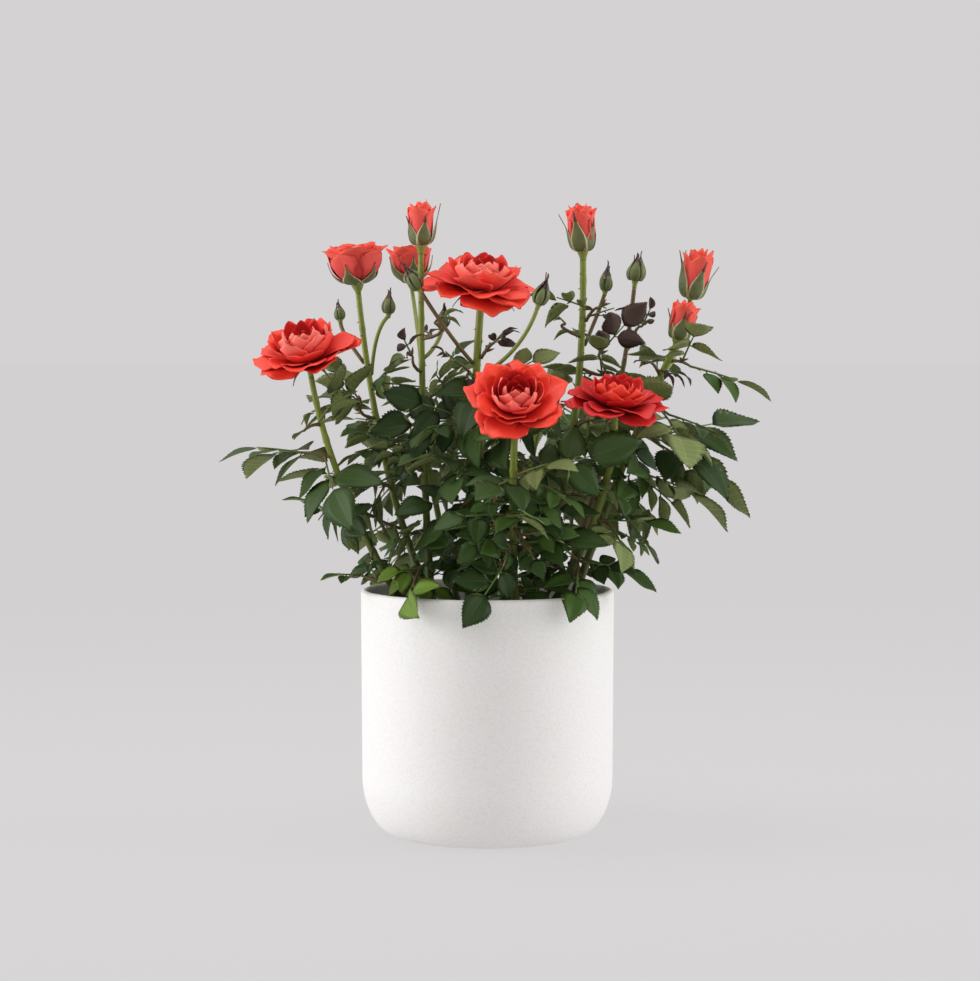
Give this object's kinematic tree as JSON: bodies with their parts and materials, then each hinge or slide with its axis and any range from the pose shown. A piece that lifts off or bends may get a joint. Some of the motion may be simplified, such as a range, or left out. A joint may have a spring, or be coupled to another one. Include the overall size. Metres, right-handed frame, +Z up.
{
  "type": "potted rose bush",
  "caption": "Miniature rose bush with open red blooms, buds and dark leaves, growing in soil in a plain round white ceramic pot.",
  "frame": {"origin": "middle of the pot's flat underside", "axes": "+Z up along the pot's middle line; -Y is the side of the plant that faces the viewer; +X to the viewer's right"},
  "size_m": [0.2849, 0.2262, 0.323],
  "materials": {
    "pot": "matt white with a fine pebbled skin",
    "soil": "dark moist potting compost",
    "cane": "smooth green bark with fine prickles",
    "leaf": "dark green leaves, paler below",
    "petal": "satin orange-red petals",
    "bud": "green sepals"
  },
  "bodies": {
    "root": {"pot": "pot", "soil": "soil", "cane_left": "cane", "cane_left_tall": "cane", "cane_left_bud": "cane", "cane_centre": "cane", "cane_front": "cane", "cane_right": "cane", "cane_right_tall": "cane", "cane_right_slim": "cane", "cane_far_right": "cane", "cane_back_left": "cane", "cane_back_right": "cane", "rose_left": "petal", "rose_centre": "petal", "rose_front": "petal", "rose_right": "petal", "cup_left": "petal", "cup_behind": "petal", "bud_top_left": "petal", "bud_top_right": "petal", "bud_far_right_upper": "petal", "bud_far_right_lower": "petal", "bud_round": "bud", "bud_leaning": "bud", "bud_by_rose": "bud", "bud_pointed": "bud", "bud_tiny": "bud", "bud_small": "bud", "bud_narrow": "bud", "leaves_left_low": "leaf", "leaves_left_middle": "leaf", "leaves_left_far": "leaf", "leaves_left_under_rose": "leaf", "leaves_left_shoulder": "leaf", "leaves_left_upper": "leaf", "leaves_left_centre": "leaf", "leaves_left_inner": "leaf", "leaves_rim_left": "leaf", "leaves_rim_centre": "leaf", "leaves_rim_right": "leaf", "leaves_front_low": "leaf", "leaves_front_middle": "leaf", "leaves_front_right": "leaf", "leaves_centre_upper": "leaf", "leaves_centre_top": "leaf", "leaves_right_low": "leaf", "leaves_right_middle": "leaf", "leaves_right_far": "leaf", "leaves_right_shoulder": "leaf", "leaves_right_tip": "leaf", "leaves_over_right": "leaf", "leaves_top_right": "leaf", "leaves_top_left": "leaf", "leaves_back_left": "leaf", "leaves_back_middle": "leaf", "leaves_back_right": "leaf", "leaves_back_low": "leaf", "leaves_back_low_right": "leaf", "leaves_side_right": "leaf"}
  },
  "joints": []
}
